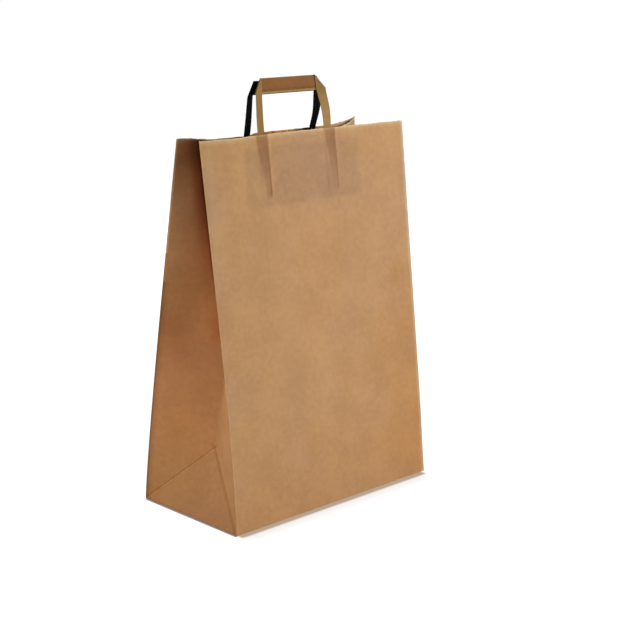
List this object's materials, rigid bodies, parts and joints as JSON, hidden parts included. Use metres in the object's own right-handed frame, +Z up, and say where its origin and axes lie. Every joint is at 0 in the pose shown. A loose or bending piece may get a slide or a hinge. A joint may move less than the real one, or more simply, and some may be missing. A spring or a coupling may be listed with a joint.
{
  "type": "paper carrier bag",
  "caption": "Brown kraft paper carrier bag, standing open, with folded side gussets, a block bottom and two flat folded paper handles.",
  "frame": {"origin": "middle of the base, on the surface that the bag stands on", "axes": "+Z up from the base to the handles, +X to the right across the front panel, +Y from the front panel to the rear panel"},
  "size_m": [0.3233, 0.17, 0.5107],
  "materials": {
    "kraft_paper": "matt brown kraft paper",
    "handle_paper": "matt brown folded paper strip",
    "black_paper": "matt black folded paper strip",
    "patch_paper": "matt brown kraft paper"
  },
  "bodies": {
    "root": {"bag_body": "kraft_paper", "front_handle": "handle_paper", "rear_handle": "black_paper", "front_handle_patch": "patch_paper", "rear_handle_patch": "patch_paper"}
  },
  "joints": []
}
